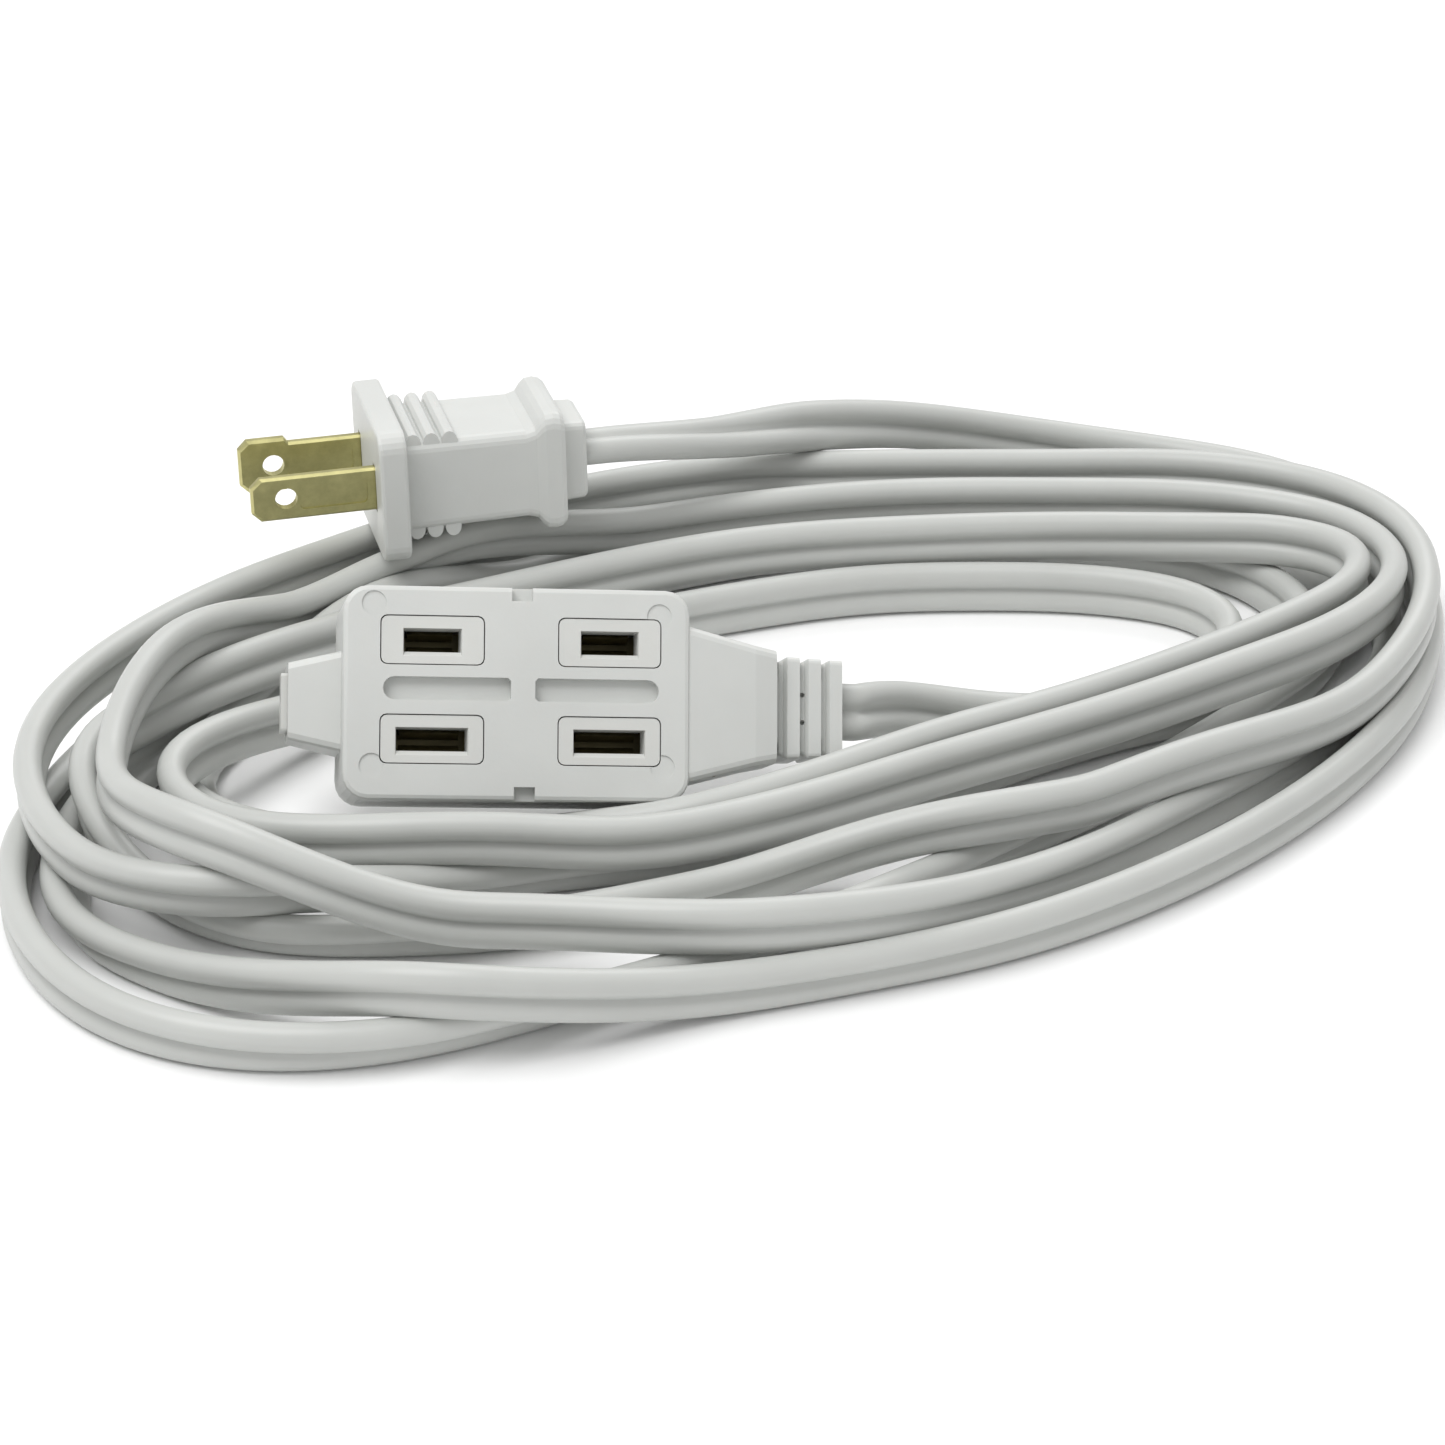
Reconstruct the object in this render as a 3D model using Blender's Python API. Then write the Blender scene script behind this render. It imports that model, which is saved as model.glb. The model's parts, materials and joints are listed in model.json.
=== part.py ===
"""Household extension cord: a flat two-conductor lead in a loose coil, a polarised
two-blade plug at one end and a moulded outlet block with two outlets at the other.

Metres, +Z up. The origin is the bottom centre of the outlet block as it leans in the
coil, +X runs along the block towards its cord, and +Y runs from its face to its back.
Each moulded end is drawn in its own frame, in millimetres, and posed by an empty.
"""

import math

import bmesh
import bpy
from mathutils import Matrix, Vector

MM = 0.001
GAP = 0.3  # clearance between touching pieces
SEAM = 0.15  # clearance round the outlet pads, which the eye sees

# Flat cord, two lobes side by side
CORD_WIDTH = 7.6
CORD_THICK = 3.8
CORE_R = 1.6
STRAND_R = 0.65

# Outlet block: X along it, Y across the outlet rows, Z out of the face, face at Z = 0
BLOCK_L, BLOCK_W, BLOCK_D = 44.6, 27.4, 19.0
BLOCK_CORNER = 3.2
BLOCK_EDGE = 0.6
PITCH = 12.7  # blade and slot spacing of the standard two-pole outlet
COLUMN_X = (-10.9, 11.9)
WINDOW = (13.4, 6.4)
HOT_SLOT, NEUTRAL_SLOT, SLOT_H = 7.3, 9.1, 3.0
ROW_Y = PITCH / 2
BLOCK_Y = -0.4  # the outlet rows sit a little above the block's middle
CORD_Y, CORD_Z = -1.3, -9.5  # the cord's axis: below the rows' middle, behind the face
NECK_END = 34.1
PLATE_PITCH = 2.86
RELIEF_END = 43.2
NOSE_END = -29.0
RELIEF_EYE_X, RELIEF_EYE_R = 37.95, 0.33  # two small blind eyes between the first plates
RELIEF_EYES = (-3.1, 0.5)
WITNESS_R, WITNESS_DEPTH = 1.6, 0.22  # shallow round marks near the corners of the face
GROOVE_DEPTH = 1.5  # of the two grooves between the outlet rows
WITNESS_AT = ((-18.4, 11.0), (18.3, 9.9), (-18.6, -9.8), (18.8, -9.6))
CARRIER_L, CARRIER_W = 36.4, 20.6
UPRIGHT = 1.1  # end wall of the cover, between the carrier and the nose
CARRIER_FRONT, CARRIER_SPLIT, CARRIER_BACK = -2.3, -13.4, -16.4

# Plug: blades along -X, Y across the blades, Z up, flange face at X = 0
FLANGE = (3.9, 25.0, 19.2)
BLADE_L, BLADE_W, BLADE_T = 17.5, 6.35, 1.5
NEUTRAL_TIP_W, NEUTRAL_TIP_L = 7.94, 6.6
BLADE_HOLE_R, BLADE_HOLE_X = 1.55, -12.6
COINED_DEPTH = 0.22  # of the panel pressed into each side of a blade
PLUG_BODY = (16.8, 13.0)
COLLAR = (17.6, 17.6)
BRIDGE_LOW, BRIDGE_HIGH = (4.4, -7.8, -4.0), (11.8, 7.8, 4.0)
PLUG_END = 30.6

# Poses of the two ends, and the centre of the coil, in this object's frame
COIL_CENTRE = Vector((21.1, 25.3, 0.0))
OUTLET_AT = Vector((-5.17, -7.54, 23.65))
OUTLET_YAW, OUTLET_PITCH, OUTLET_LEAN = 7.0, 5.0, 56.0
PLUG_AT = Vector((-50.1, 27.4, 25.3))
PLUG_YAW, PLUG_ROLL = 14.0, -4.0

PVC_WHITE = (0.78, 0.78, 0.76)


def clear_scene():
    for obj in list(bpy.data.objects):
        bpy.data.objects.remove(obj)


def material(name, colour, roughness, metallic=0.0):
    made = bpy.data.materials.new(name)
    made.use_nodes = True
    shader = made.node_tree.nodes["Principled BSDF"]
    shader.inputs["Base Color"].default_value = (*colour, 1.0)
    shader.inputs["Roughness"].default_value = roughness
    shader.inputs["Metallic"].default_value = metallic
    return made


def pose_empty(name, at_mm, yaw, pitch=0.0, lean=0.0):
    empty = bpy.data.objects.new(name, None)
    bpy.context.collection.objects.link(empty)
    turn = (
        Matrix.Rotation(math.radians(yaw), 4, "Z")
        @ Matrix.Rotation(math.radians(pitch), 4, "Y")
        @ Matrix.Rotation(math.radians(lean), 4, "X")
    )
    empty.matrix_world = Matrix.Translation(at_mm * MM) @ turn
    return empty


# ---- shape helpers, all in millimetres ----


def rounded_rect(width, height, radius, steps=5):
    """Corners of a rectangle centred on zero, each one an arc."""
    points = []
    for sx, sy, start in ((1, 1, 0), (-1, 1, 90), (-1, -1, 180), (1, -1, 270)):
        centre = (sx * (width / 2 - radius), sy * (height / 2 - radius))
        for i in range(steps + 1):
            angle = math.radians(start + 90 * i / steps)
            points.append(
                (centre[0] + radius * math.cos(angle), centre[1] + radius * math.sin(angle))
            )
    return points


def loft(sections):
    """A closed solid through loops of the same number of points."""
    bm = bmesh.new()
    loops = [[bm.verts.new(p) for p in section] for section in sections]
    for first, second in zip(loops, loops[1:]):
        for i in range(len(first)):
            j = (i + 1) % len(first)
            bm.faces.new((first[i], first[j], second[j], second[i]))
    bm.faces.new(loops[0])
    bm.faces.new(reversed(loops[-1]))
    bmesh.ops.recalc_face_normals(bm, faces=bm.faces)
    return bm


def prism(outline, z_low, z_high):
    return loft([[(x, y, z) for x, y in outline] for z in (z_low, z_high)])


def section_x(x, outline, y_mid=0.0, z_mid=0.0):
    """A (y, z) outline standing across the X axis."""
    return [(x, y_mid + y, z_mid + z) for y, z in outline]


def box(low, high):
    x0, y0, z0 = low
    x1, y1, z1 = high
    return prism([(x0, y0), (x1, y0), (x1, y1), (x0, y1)], z0, z1)


def rod(axis_points, radius, sides=12):
    """A straight cylinder between two points."""
    start, end = (Vector(p) for p in axis_points)
    along = (end - start).normalized()
    side = along.orthogonal().normalized()
    other = along.cross(side)
    ring = [
        side * (radius * math.cos(2 * math.pi * i / sides))
        + other * (radius * math.sin(2 * math.pi * i / sides))
        for i in range(sides)
    ]
    return loft([[point + r for r in ring] for point in (start, end)])


def ribbon(path, thickness, low, high):
    """A bent strip: a 2D centreline in (y, z) with a thickness, extruded along X."""
    left = []
    right = []
    for i, point in enumerate(path):
        before = Vector(path[max(i - 1, 0)])
        after = Vector(path[min(i + 1, len(path) - 1)])
        along = (after - before).normalized()
        normal = Vector((-along.y, along.x)) * (thickness / 2)
        left.append(Vector(point) + normal)
        right.append(Vector(point) - normal)
    outline = left + right[::-1]
    return loft([[(x, p.x, p.y) for p in outline] for x in (low, high)])


def piece(name, bm, look, pose=None, smooth_angle=None):
    """Turns a millimetre bmesh into a named object in metres."""
    bmesh.ops.scale(bm, vec=(MM, MM, MM), verts=bm.verts)
    mesh = bpy.data.meshes.new(name)
    bm.to_mesh(mesh)
    bm.free()
    if look:
        mesh.materials.append(look)
    obj = bpy.data.objects.new(name, mesh)
    bpy.context.collection.objects.link(obj)
    obj.parent = pose
    if smooth_angle:
        mesh.shade_smooth()
        mesh.set_sharp_from_angle(angle=math.radians(smooth_angle))
    return obj


def combine(obj, bm, operation="DIFFERENCE"):
    """Cuts a helper shape from an object, or joins it on."""
    helper = piece(f"{obj.name}_tool_{len(obj.modifiers):02d}", bm, None, obj.parent)
    helper.hide_render = True
    helper.display_type = "WIRE"
    boolean = obj.modifiers.new(helper.name, "BOOLEAN")
    boolean.operation = operation
    boolean.object = helper
    boolean.solver = "EXACT"


def bevelled(bm, width, segments=2, angle=50):
    """Rounds the edges that turn by more than the angle, in millimetres."""
    sharp = [e for e in bm.edges if len(e.link_faces) == 2 and e.calc_face_angle() > math.radians(angle)]
    bmesh.ops.bevel(
        bm, geom=sharp, offset=width, segments=segments, profile=0.5, affect="EDGES", clamp_overlap=True
    )
    return bm


def smooth_route(knots, per_span):
    """Centripetal Catmull-Rom curve through the knots."""
    points = [2 * knots[0] - knots[1], *knots, 2 * knots[-1] - knots[-2]]
    route = []
    for p0, p1, p2, p3 in zip(points, points[1:], points[2:], points[3:]):
        t1 = (p1 - p0).length ** 0.5
        t2 = t1 + (p2 - p1).length ** 0.5
        t3 = t2 + (p3 - p2).length ** 0.5
        for step in range(per_span):
            t = t1 + (t2 - t1) * step / per_span
            a1 = p0 * ((t1 - t) / t1) + p1 * (t / t1)
            a2 = p1 * ((t2 - t) / (t2 - t1)) + p2 * ((t - t1) / (t2 - t1))
            a3 = p2 * ((t3 - t) / (t3 - t2)) + p3 * ((t - t2) / (t3 - t2))
            b1 = a1 * ((t2 - t) / t2) + a2 * (t / t2)
            b2 = a2 * ((t3 - t) / (t3 - t1)) + a3 * ((t - t1) / (t3 - t1))
            route.append(b1 * ((t2 - t) / (t2 - t1)) + b2 * ((t - t1) / (t2 - t1)))
    return [*route, knots[-1]]


def tube(name, points, radius, look, pose=None, resolution=2):
    """A round lead along points, a curve object with filled caps."""
    curve = bpy.data.curves.new(name, "CURVE")
    curve.dimensions = "3D"
    curve.bevel_depth = radius * MM
    curve.bevel_resolution = resolution
    curve.use_fill_caps = True
    spline = curve.splines.new("POLY")
    spline.points.add(len(points) - 1)
    for target, point in zip(spline.points, points):
        target.co = (*(Vector(point) * MM), 1.0)
    curve.materials.append(look)
    obj = bpy.data.objects.new(name, curve)
    bpy.context.collection.objects.link(obj)
    obj.parent = pose
    return obj


# ---- outlet block ----


def block_shell():
    outline = [(x, y + BLOCK_Y) for x, y in rounded_rect(BLOCK_L, BLOCK_W, BLOCK_CORNER)]
    return bevelled(prism(outline, -BLOCK_D, 0), BLOCK_EDGE)


def neck_shape():
    """Tapers from the block's end to the strain relief."""
    rows = ((18.0, 20.4, -0.5, -18.4), (22.6, 20.2, -0.5, -18.2), (31.2, 15.8, -1.5, -16.9))
    rows += ((NECK_END, 14.7, -2.3, -16.3),)
    sections = []
    for x, width, front, back in rows:
        outline = rounded_rect(width, front - back, 1.2, 3)
        sections.append(section_x(x, outline, CORD_Y, (front + back) / 2))
    return loft(sections)


def relief_core():
    """Sleeve that joins the strain relief's plates."""
    sections = []
    for x, width, depth in ((30.0, 11.0, 8.4), (RELIEF_END - 0.3, 10.0, 7.0)):
        sections.append(section_x(x, rounded_rect(width, depth, 1.5, 3), CORD_Y, CORD_Z))
    return loft(sections)


def relief_plate(index):
    start = NECK_END + 0.75 + PLATE_PITCH * index
    width = 13.4 - 0.3 * index
    depth = 10.4 - 0.5 * index
    # Each plate steps down, more at the front than at the sides, to a short waist
    rows = ((start, -1.1, -2.4), (start + 0.5, -0.6, -2.0))
    rows += ((start + 0.95, 0.0, 0.0), (start + 2.6, -0.1, -0.1))
    sections = []
    for x, less_width, less_depth in rows:
        outline = rounded_rect(width + less_width, depth + less_depth, 0.6, 3)
        sections.append(section_x(x, outline, CORD_Y, CORD_Z))
    return loft(sections)


def end_nose():
    """Tapered boss on the block's free end."""
    sections = []
    for x, width, depth in ((-20.0, 14.0, 13.4), (NOSE_END, 9.9, 11.0)):
        sections.append(section_x(x, rounded_rect(width, depth, 0.9, 2), CORD_Y, -10.5))
    return loft(sections)


def groove_outline(low, high, round_left):
    """A groove between the outlet rows, with one round end."""
    half = 1.5
    square = 0.4
    points = []
    for i in range(9):
        angle = math.radians(90 + 180 * i / 8)
        points.append((low + half + half * math.cos(angle), half * math.sin(angle)))
    points += [(high - square, -half), (high, -half + square), (high, half - square), (high - square, half)]
    if not round_left:
        points = [(low + high - x, y) for x, y in points[::-1]]
    return [(x, y + 0.15) for x, y in points]


def make_outlet_overmould(look, pose):
    body = piece("outlet_overmould", block_shell(), look, pose, 35)
    combine(body, neck_shape(), "UNION")
    combine(body, relief_core(), "UNION")
    for index in range(3):
        combine(body, relief_plate(index), "UNION")
    combine(body, end_nose(), "UNION")
    half_l = CARRIER_L / 2 + GAP
    half_w = CARRIER_W / 2 + GAP
    combine(body, box((-half_l, -half_w, CARRIER_BACK - GAP), (half_l, half_w, CARRIER_FRONT + GAP)))
    window = rounded_rect(*WINDOW, 0.9, 3)
    for x in COLUMN_X:
        for y in (-ROW_Y, ROW_Y):
            combine(body, prism([(x + u, y + v) for u, v in window], CARRIER_FRONT - 1, 1))
    for low, high, round_left in ((-17.2, -0.8, True), (2.3, 18.3, False)):
        combine(body, prism(groove_outline(low, high, round_left), -GROOVE_DEPTH, 1))
    notch = 1.75
    for x, low, high in ((0.6, BLOCK_W / 2 - notch, BLOCK_W), (1.0, -BLOCK_W, notch - BLOCK_W / 2)):
        combine(body, box((x - 1.35, low + BLOCK_Y, -1.6), (x + 1.35, high + BLOCK_Y, 1)))
    for x, y in WITNESS_AT:
        combine(body, rod(((x, y, -WITNESS_DEPTH), (x, y, 1.0)), WITNESS_R, 24))
    # Passage for the conductors: wide behind the strips, narrow at the cord
    rows = ((half_l - 1, 15.0, 7.6, 0.0, CORD_Z - 0.6), (27.5, 15.0, 7.6, 0.0, CORD_Z - 0.6))
    rows += ((33.5, 8.4, 4.3, CORD_Y, CORD_Z),)
    rows += ((RELIEF_END + 1, CORD_WIDTH + GAP, 4.3, CORD_Y, CORD_Z),)
    passage = [section_x(x, rounded_rect(width, depth, 1.2, 2), y, z) for x, width, depth, y, z in rows]
    combine(body, loft(passage))
    for y in RELIEF_EYES:
        combine(body, rod(((RELIEF_EYE_X, y, CORD_Z + 2.9), (RELIEF_EYE_X, y, 0)), RELIEF_EYE_R))
    tongue = rounded_rect(7.6 + 2 * GAP, 5.0 + 2 * GAP, 0.5, 2)
    combine(body, loft([section_x(x, tongue, CORD_Y, -10.5) for x in (-half_l + 1, NOSE_END - 2)]))


def make_outlet_carrier(look, pose):
    """Inner housing: its four pads show in the windows, its troughs hold the contacts."""
    half_l = CARRIER_L / 2
    half_w = CARRIER_W / 2
    left = -half_l + UPRIGHT + GAP
    block = box((left, -half_w, CARRIER_SPLIT), (half_l, half_w, CARRIER_FRONT))
    body = piece("outlet_carrier", block, look, pose)
    pad = rounded_rect(WINDOW[0] - 2 * SEAM, WINDOW[1] - 2 * SEAM, 0.8, 3)
    for x in COLUMN_X:
        for y in (-ROW_Y, ROW_Y):
            combine(body, prism([(x + u, y + v) for u, v in pad], CARRIER_FRONT - 1, -0.12), "UNION")
    for y, slot in ((ROW_Y, HOT_SLOT), (-ROW_Y, NEUTRAL_SLOT)):
        combine(body, box((left + 1.2, y - 2.5, CARRIER_SPLIT - 1), (half_l + 1, y + 2.5, -4.6)))
        for x in COLUMN_X:
            combine(body, box((x - slot / 2, y - SLOT_H / 2, -6), (x + slot / 2, y + SLOT_H / 2, 1)))
            lead_in = loft(
                [
                    [(x - slot / 2 - g, y + v, z) for v in (-SLOT_H / 2 - drop, SLOT_H / 2)]
                    + [(x + slot / 2 + g, y + v, z) for v in (SLOT_H / 2, -SLOT_H / 2 - drop)]
                    for z, g, drop in ((-1.2, -0.2, -0.4), (0.3, 0.25, 0.95))
                ]
            )
            combine(body, lead_in)


def make_outlet_cover(look, pose):
    """Back cover of the inner housing, with the tongue that ends in the nose."""
    half_l = CARRIER_L / 2
    half_w = CARRIER_W / 2
    top = CARRIER_SPLIT - GAP
    lid = box((-half_l, -half_w, CARRIER_BACK), (half_l, half_w, top))
    body = piece("outlet_carrier_cover", lid, look, pose)
    for y in (-ROW_Y, ROW_Y):
        combine(body, box((-half_l + 3.2, y - 2.1, top - 0.6), (half_l - 1, y + 2.1, -12.7)), "UNION")
    combine(body, box((-half_l, -half_w, top - 0.5), (-half_l + UPRIGHT, half_w, -7.0)), "UNION")
    tongue = rounded_rect(7.6, 5.0, 0.4, 2)
    reach = (-half_l + UPRIGHT / 2, NOSE_END - 0.8)
    combine(body, loft([section_x(x, tongue, CORD_Y, -10.5) for x in reach]), "UNION")


def make_contact_strip(name, y, slot, look, pose):
    """Brass strip with a pair of spring leaves behind each slot and a crimp barrel."""
    side = 1 if y > 0 else -1
    body = piece(name, box((-15.2, y - 1.9, -12.3), (18.2, y + 1.9, -11.7)), look, pose)
    leaf = ((1.5, -12.0), (1.55, -9.5), (0.62, -7.2), (0.62, -6.2), (1.3, -5.0))
    half = slot / 2 - 0.7
    for x in COLUMN_X:
        for way in (-1, 1):
            path = [(y + way * v, z) for v, z in leaf]
            combine(body, ribbon(path, 0.45, x - half, x + half), "UNION")
    barrel_y = y - side * 1.35
    combine(body, box((17.2, barrel_y - 1.0, -12.3), (22.0, barrel_y + 1.0, -11.7)), "UNION")
    combine(body, rod(((21.0, barrel_y, -10.9), (25.0, barrel_y, -10.9)), 1.3), "UNION")
    bore = STRAND_R + 0.12
    combine(body, rod(((20.0, barrel_y, -10.9), (26.0, barrel_y, -10.9)), bore))


def outlet_core_route(side):
    start = Vector((25.6, side * (ROW_Y - 1.35), -10.9))
    knots = [start, Vector((27.2, side * 4.8 - 0.1, -10.8)), Vector((30.4, side * 3.0 - 0.7, -10.0))]
    for x in (33.8, 38.0, RELIEF_END - 1.8):
        knots.append(Vector((x, CORD_Y + side * 1.95, CORD_Z)))
    return smooth_route(knots, 3)


def lofted_lead(name, route, radius, look, pose, sides=12):
    """A mesh tube along a route."""
    sections = []
    for i, point in enumerate(route):
        along = (route[min(i + 1, len(route) - 1)] - route[max(i - 1, 0)]).normalized()
        across = along.cross(Vector((0, 0, 1))).normalized()
        other = across.cross(along)
        ring = []
        for k in range(sides):
            angle = 2 * math.pi * k / sides
            ring.append(point + across * (radius * math.cos(angle)) + other * (radius * math.sin(angle)))
        sections.append(ring)
    return piece(name, loft(sections), look, pose, 40)


def make_core_end(end, pole, route, strand_from, looks, pose):
    """One insulated core end, and the bare strands that run from it into the crimp."""
    along = (route[1] - route[0]).normalized()
    core = lofted_lead(f"{pole}_core_{end}", route, CORE_R, looks["insulation"], pose)
    combine(core, rod((route[0] - along * 0.5, route[0] + along * 1.2), STRAND_R + 0.25, 10))
    strands = rod((strand_from, route[0] + along * 0.9), STRAND_R, 10)
    piece(f"{pole}_strands_{end}", strands, looks["copper"], pose, 40)


# ---- plug ----


def blade_shape(neutral):
    """A flat blade along -X with a chamfered tip, its outline in (x, z)."""
    half = BLADE_W / 2
    tip_half = (NEUTRAL_TIP_W if neutral else BLADE_W) / 2
    chamfer = 1.3
    upper = [(13.0, half - 0.6), (4.5, half - 0.6), (4.0, half)]
    if neutral:
        upper += [(-BLADE_L + NEUTRAL_TIP_L + 0.6, half), (-BLADE_L + NEUTRAL_TIP_L, tip_half)]
    upper += [(-BLADE_L + chamfer, tip_half), (-BLADE_L, tip_half - chamfer)]
    outline = upper + [(x, -z) for x, z in upper[::-1]]
    inset = 0.35
    side = BLADE_T / 2
    sections = []
    for y, less in ((-side, inset), (inset - side, 0), (side - inset, 0), (side, inset)):
        tip = -BLADE_L + 2
        sections.append([(x + (less if x < tip else 0), y, z * (1 - less / half)) for x, z in outline])
    return loft(sections)


def make_blade(name, y, neutral, look, pose):
    side = 1 if y > 0 else -1
    shape = blade_shape(neutral)
    bmesh.ops.translate(shape, vec=(0, y, 0), verts=shape.verts)
    body = piece(name, shape, look, pose)
    hole = [(BLADE_HOLE_X, y - 2, 0), (BLADE_HOLE_X, y + 2, 0)]
    combine(body, rod(hole, BLADE_HOLE_R, 20))
    panel = rounded_rect(9.6, 3.6, 0.7, 3)
    for way in (-1, 1):
        face = y + way * BLADE_T / 2
        depths = (face - way * COINED_DEPTH, face + way * 1.0)
        coined = loft([[(-6.0 + u, depth, w) for u, w in panel] for depth in depths])
        combine(body, coined)
    barrel_y = y - side * 2.0
    combine(body, box((12.2, min(y, barrel_y) - 0.4, -1.2), (14.0, max(y, barrel_y) + 0.4, 1.2)), "UNION")
    combine(body, rod(((13.0, barrel_y, 0), (17.0, barrel_y, 0)), 1.35), "UNION")
    combine(body, rod(((14.4, barrel_y, 0), (18.0, barrel_y, 0)), STRAND_R + 0.12))


def plug_body_sections():
    """(x, y width, z height, corner radius) along the plug: grip, then finger stop."""
    width, height = PLUG_BODY
    wide, tall = COLLAR
    return (
        (1.5, width + 0.4, height + 0.4, 1.5),
        (21.4, width, height, 1.5),
        (22.8, width + 0.1, height + 0.8, 1.5),
        (23.5, wide - 0.3, tall - 1.7, 1.8),
        (24.2, wide, tall - 0.3, 2.0),
        (25.4, wide, tall, 2.0),
        (26.3, wide, tall - 0.5, 2.0),
        (26.9, wide - 0.5, tall - 1.6, 1.8),
    )


def grip_rib(x, above):
    """Rounded rib across the plug, on the top or the bottom."""
    z_mid = above * (PLUG_BODY[1] / 2 - 0.1)
    points = []
    for i in range(12):
        angle = 2 * math.pi * i / 12
        points.append((x + 1.15 * math.cos(angle), z_mid + 1.5 * math.sin(angle)))
    reach = PLUG_BODY[0] / 2 - 0.3
    return loft([[(px, y, pz) for px, pz in points] for y in (-reach, reach)])


def make_plug_overmould(look, pose):
    thick, width, height = FLANGE
    face = rounded_rect(width, height, 2.6)
    shell = bevelled(loft([section_x(x, face) for x in (0, thick)]), 0.5)
    body = piece("plug_overmould", shell, look, pose, 35)
    sections = []
    for x, across, tall, corner in plug_body_sections():
        sections.append(section_x(x, rounded_rect(across, tall, corner, 4)))
    combine(body, loft(sections), "UNION")
    for index in range(3):
        for above in (-1, 1):
            combine(body, grip_rib(FLANGE[0] + 1.5 + 2.57 * index, above), "UNION")
    tail = []
    for x, across, tall in ((24.5, 10.8, 12.0), (PLUG_END - 0.5, 10.4, 11.6), (PLUG_END, 9.8, 11.0)):
        tail.append(section_x(x, rounded_rect(across, tall, 1.0, 3)))
    combine(body, loft(tail), "UNION")
    low = [edge - GAP for edge in BRIDGE_LOW]
    high = [edge + GAP for edge in BRIDGE_HIGH]
    combine(body, box(low, high))
    for y in (-PITCH / 2, PITCH / 2):
        slot_y = BLADE_T / 2 + GAP
        slot_z = BLADE_W / 2 + GAP
        combine(body, box((-1, y - slot_y, -slot_z), (6, y + slot_y, slot_z)))
    rows = ((11.0, 15.2, 6.8), (14.2, 15.2, 6.8), (18.8, 13.2, 4.8), (23.5, 8.6, 4.3))
    rows += ((PLUG_END + 1, CORD_WIDTH + GAP, CORD_THICK + GAP),)
    passage = [section_x(x, rounded_rect(across, tall, 1.2, 2)) for x, across, tall in rows]
    combine(body, loft(passage))


def make_plug_bridge(look, pose):
    """Hard insert that holds the two blades apart inside the soft moulding."""
    body = piece("plug_blade_bridge", box(BRIDGE_LOW, BRIDGE_HIGH), look, pose)
    for y in (-PITCH / 2, PITCH / 2):
        slot_y = BLADE_T / 2 + GAP
        slot_z = BLADE_W / 2 + GAP
        combine(body, box((3, y - slot_y, -slot_z), (13, y + slot_y, slot_z)))


def plug_core_route(side):
    knots = [Vector((18.0, side * 4.35, 0)), Vector((20.0, side * 3.7, 0)), Vector((23.0, side * 2.2, 0))]
    knots += [Vector((26.0, side * 1.95, 0)), Vector((PLUG_END - 1.8, side * 1.95, 0))]
    return smooth_route(knots, 3)


# ---- cord ----

# Everything here is measured from the coil's centre, in millimetres.
# A free stretch is a round tube of about the flat cord's own cross-section.
LEAD_R = 2.4
OUTLET_STRETCH = ((23, -12, 10), (30, -10, 7.6), (38, -7.6, 5.4), (45, -5.6, 3.8), (52, -4.4, 3.6))
PLUG_STRETCH = (
    (-8, 39.8, 24.8), (-3, 44, 23), (10, 56.5, 19.4), (25.5, 68.5, 14.6), (38, 74.2, 10.6), (49, 77.4, 7.2),
)
COIL_OUTER = (
    (-92, -38), (-84, -70), (-50, -86), (-3, -76), (36, -63), (70, -38), (97, 0),
    (103, 30), (90, 66), (66, 81), (42, 71), (9, 67), (-33, 45), (-70, 20), (-90, -12),
)
COIL_INNER = (
    (-66, -22), (-60, -38), (-45, -44), (-24, -45), (2, -41), (30, -22), (52, -9),
    (66, 8), (66, 24), (50, 30), (20, 30), (3, 25), (-17, 17), (-39, 5), (-56, -7),
)
COIL_TOP = 13.8
CREST_TOP = 15.8


def closed_outline(points, per_span):
    """Smooth closed curve through the points."""
    count = len(points)
    outline = []
    for i in range(count):
        p0, p1, p2, p3 = (Vector(points[(i + k) % count]) for k in (-1, 0, 1, 2))
        for step in range(per_span):
            t = step / per_span
            outline.append(
                (p1 * 2 + (p2 - p0) * t + (p0 * 2 - p1 * 5 + p2 * 4 - p3) * t * t
                 + (p1 * 3 - p0 - p2 * 3 + p3) * t**3) * 0.5
            )
    return outline


def evenly(outline, count):
    """Points at equal angles about the outline's middle, on the outline."""
    middle = sum(outline, Vector((0, 0))) / len(outline)
    angles = [math.atan2(*(p - middle).yx) for p in outline]
    spread = []
    for i in range(count):
        wanted = -math.pi + 2 * math.pi * (i + 0.5) / count
        for k, point in enumerate(outline):
            a0, a1 = angles[k], angles[(k + 1) % len(outline)]
            turn = (a1 - a0 + math.pi) % (2 * math.pi) - math.pi
            reach = (wanted - a0 + math.pi) % (2 * math.pi) - math.pi
            if turn and 0 <= reach / turn < 1 and abs(reach) < 1:
                spread.append(point.lerp(outline[(k + 1) % len(outline)], reach / turn))
                break
    return spread


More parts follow.
